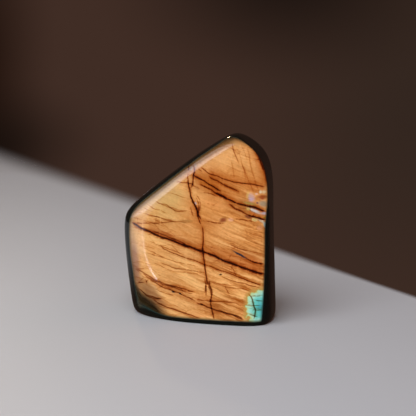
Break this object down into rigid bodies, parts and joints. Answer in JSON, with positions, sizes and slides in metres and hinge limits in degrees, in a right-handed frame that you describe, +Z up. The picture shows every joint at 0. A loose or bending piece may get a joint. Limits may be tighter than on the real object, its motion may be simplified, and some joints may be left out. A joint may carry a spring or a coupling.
{
  "type": "labradorite freeform",
  "caption": "Free-standing polished labradorite slab with a slanting upper edge, a rounded peak and a flat ground base, its face glowing amber between dark natural seams.",
  "frame": {"origin": "on the surface that the stone stands on, under the middle of its bounding box", "axes": "+Z up through the stone's height, -Y out of the polished face, +X toward its straight right hand side as the face is seen"},
  "size_m": [0.0708, 0.0328, 0.0887],
  "materials": {
    "stone": "polished labradorite: amber play of colour on the face, dark grey-green body at the rims and back, dark seams"
  },
  "bodies": {
    "root": {"stone": "stone"}
  },
  "joints": []
}
